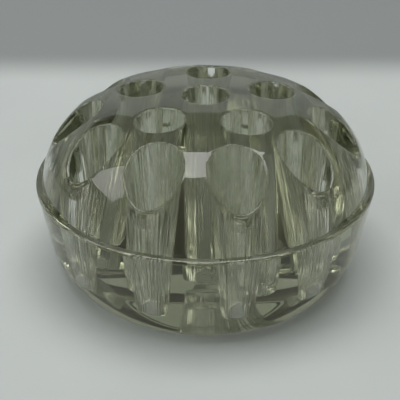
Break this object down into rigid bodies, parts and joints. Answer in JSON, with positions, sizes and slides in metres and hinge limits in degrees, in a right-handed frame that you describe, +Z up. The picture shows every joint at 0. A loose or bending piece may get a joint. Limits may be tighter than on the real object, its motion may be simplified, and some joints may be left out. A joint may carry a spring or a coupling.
{
  "type": "flower frog",
  "caption": "Domed clear pressed-glass flower frog: blind stem holes in two rings and the centre, a narrow ledge round the dome and a shallow recess under the base.",
  "frame": {"origin": "middle of the base ring, on the surface that the frog stands on", "axes": "+Z up along the dome's axis; -Y is the side that faces the viewer; the rings of stem holes are centred on Z"},
  "size_m": [0.1018, 0.1017, 0.054],
  "materials": {
    "clear_glass": "clear pressed glass with a faint grey-olive tint, fire-polished outside, fine upright draw marks in the stem holes"
  },
  "bodies": {
    "root": {"glass_flower_frog": "clear_glass"}
  },
  "joints": []
}
